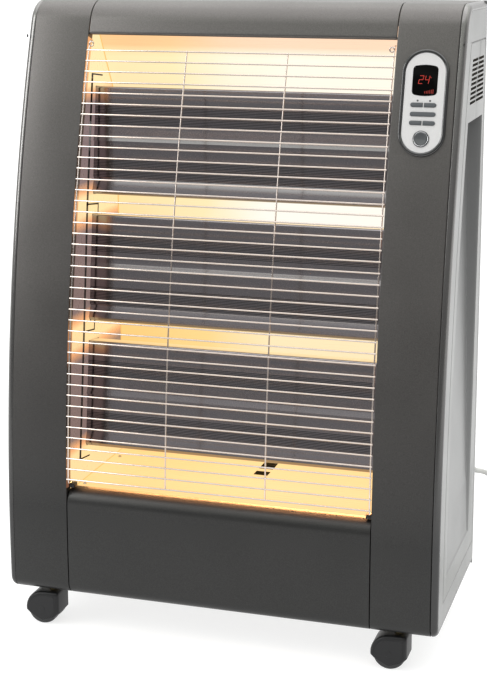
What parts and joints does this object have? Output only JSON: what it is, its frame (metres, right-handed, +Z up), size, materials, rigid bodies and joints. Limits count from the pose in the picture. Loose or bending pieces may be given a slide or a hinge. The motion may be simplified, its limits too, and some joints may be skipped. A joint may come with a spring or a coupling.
{
  "type": "infrared heater",
  "caption": "Upright oil-fired infrared heater on swivel casters: curved cabinet, wire guard over flattened emitter ducts, reflectors, side controls, fuel tank and burner inside.",
  "frame": {"origin": "on the floor, under the middle of the heater without its mains lead", "axes": "+Z up; the wire guard and the front face -Y; +X is the side with the control panel and the lead"},
  "size_m": [0.8832, 0.4352, 0.974],
  "materials": {
    "graphite_paint": "fine satin graphite paint",
    "trim_paint": "satin graphite paint, a little glossier",
    "side_paint": "satin silver-grey paint",
    "rear_paint": "grey paint",
    "chrome_wire": "bright chrome plating",
    "emitter_coat": "satin black heat-resistant coat",
    "reflector_steel": "bright reflector sheet, lit warm",
    "duct_steel": "plain sheet steel",
    "tank_steel": "grey painted sheet steel",
    "burner_cast": "cast aluminium",
    "black_plastic": "fine matte black",
    "key_plastic": "dark grey",
    "white_face": "satin white",
    "bezel_gloss": "glossy dark grey",
    "window_glass": "black display window",
    "board_green": "circuit board",
    "cap_red": "red filler cap",
    "brass": "plain brass",
    "cord_grey": "light grey sheath"
  },
  "bodies": {
    "cabinet": {"front_left_pillar": "graphite_paint", "front_right_pillar": "graphite_paint", "front_top_panel": "graphite_paint", "lower_front_panel": "graphite_paint", "left_edge_trim": "trim_paint", "right_edge_trim": "trim_paint", "left_side_panel": "side_paint", "right_side_panel": "side_paint", "top_plate": "rear_paint", "rear_cover": "rear_paint", "base_pan": "duct_steel", "exhaust_guard": "duct_steel", "wire_guard": "chrome_wire", "guard_clip_left": "black_plastic", "guard_clip_right": "black_plastic", "emitter_top": "emitter_coat", "emitter_middle": "emitter_coat", "emitter_bottom": "emitter_coat", "reflector_back": "reflector_steel", "reflector_top": "reflector_steel", "reflector_bottom": "reflector_steel", "reflector_left": "reflector_steel", "reflector_right": "reflector_steel", "combustion_chamber": "duct_steel", "left_turn_box": "duct_steel", "right_turn_box": "duct_steel", "outlet_box": "duct_steel", "exhaust_pipe": "duct_steel", "burner_housing": "burner_cast", "burner_motor": "black_plastic", "ignition_transformer": "black_plastic", "fuel_tank": "tank_steel", "fuel_level_sender": "brass", "fuel_pump": "brass", "fuel_line": "brass", "control_bezel": "bezel_gloss", "control_face": "white_face", "display_window": "window_glass", "control_board": "board_green", "cord_gland": "black_plastic", "mains_cord": "cord_grey", "cord_coil": "cord_grey", "mains_plug": "black_plastic"},
    "key_temperature_up": {"key_temperature_up": "key_plastic"},
    "key_temperature_down": {"key_temperature_down": "key_plastic"},
    "key_heat_mode": {"key_heat_mode": "key_plastic"},
    "key_timer_set": {"key_timer_set": "key_plastic"},
    "key_timer_start": {"key_timer_start": "key_plastic"},
    "power_button": {"power_button": "key_plastic"},
    "blower": {"blower_wheel": "burner_cast"},
    "fuel_cap": {"fuel_cap": "cap_red"},
    "front_left_hood": {"front_left_caster_hood": "black_plastic"},
    "front_left_wheels": {"front_left_caster_wheels": "black_plastic"},
    "front_right_hood": {"front_right_caster_hood": "black_plastic"},
    "front_right_wheels": {"front_right_caster_wheels": "black_plastic"},
    "rear_left_hood": {"rear_left_caster_hood": "black_plastic"},
    "rear_left_wheels": {"rear_left_caster_wheels": "black_plastic"},
    "rear_right_hood": {"rear_right_caster_hood": "black_plastic"},
    "rear_right_wheels": {"rear_right_caster_wheels": "black_plastic"}
  },
  "joints": [
    {"name": "key_temperature_up_press", "type": "slide", "parent": "cabinet", "child": "key_temperature_up", "axis": [0, 0.9593, -0.2824], "range_m": [0, 0.001], "stiffness_N_per_m": 300},
    {"name": "key_temperature_down_press", "type": "slide", "parent": "cabinet", "child": "key_temperature_down", "axis": [0, 0.9593, -0.2824], "range_m": [0, 0.001], "stiffness_N_per_m": 300},
    {"name": "key_heat_mode_press", "type": "slide", "parent": "cabinet", "child": "key_heat_mode", "axis": [0, 0.9593, -0.2824], "range_m": [0, 0.001], "stiffness_N_per_m": 300},
    {"name": "key_timer_set_press", "type": "slide", "parent": "cabinet", "child": "key_timer_set", "axis": [0, 0.9593, -0.2824], "range_m": [0, 0.001], "stiffness_N_per_m": 300},
    {"name": "key_timer_start_press", "type": "slide", "parent": "cabinet", "child": "key_timer_start", "axis": [0, 0.9593, -0.2824], "range_m": [0, 0.001], "stiffness_N_per_m": 300},
    {"name": "power_button_press", "type": "slide", "parent": "cabinet", "child": "power_button", "axis": [0, 0.9593, -0.2824], "range_m": [0, 0.001], "stiffness_N_per_m": 300},
    {"name": "blower_spin", "type": "hinge", "parent": "cabinet", "child": "blower", "pos_m": [0.2728, -0.0674, 0.14], "axis": [1, 0, 0], "continuous": true},
    {"name": "fuel_cap_turn", "type": "hinge", "parent": "cabinet", "child": "fuel_cap", "pos_m": [-0.24, 0.1361, 0.209], "axis": [0, 0.8191, 0.5736], "range_deg": [0, 90]},
    {"name": "front_left_swivel", "type": "hinge", "parent": "cabinet", "child": "front_left_hood", "pos_m": [-0.2806, -0.13711, 0.025], "axis": [0, 0, 1], "continuous": true},
    {"name": "front_left_roll", "type": "hinge", "parent": "front_left_hood", "child": "front_left_wheels", "pos_m": [-0.2926, -0.13711, 0.025], "axis": [0, 1, 0], "continuous": true},
    {"name": "front_right_swivel", "type": "hinge", "parent": "cabinet", "child": "front_right_hood", "pos_m": [0.2806, -0.13711, 0.025], "axis": [0, 0, 1], "continuous": true},
    {"name": "front_right_roll", "type": "hinge", "parent": "front_right_hood", "child": "front_right_wheels", "pos_m": [0.2686, -0.13711, 0.025], "axis": [0, 1, 0], "continuous": true},
    {"name": "rear_left_swivel", "type": "hinge", "parent": "cabinet", "child": "rear_left_hood", "pos_m": [-0.2806, 0.10839, 0.025], "axis": [0, 0, 1], "continuous": true},
    {"name": "rear_left_roll", "type": "hinge", "parent": "rear_left_hood", "child": "rear_left_wheels", "pos_m": [-0.2926, 0.10839, 0.025], "axis": [0, 1, 0], "continuous": true},
    {"name": "rear_right_swivel", "type": "hinge", "parent": "cabinet", "child": "rear_right_hood", "pos_m": [0.2806, 0.10839, 0.025], "axis": [0, 0, 1], "continuous": true},
    {"name": "rear_right_roll", "type": "hinge", "parent": "rear_right_hood", "child": "rear_right_wheels", "pos_m": [0.2686, 0.10839, 0.025], "axis": [0, 1, 0], "continuous": true}
  ]
}
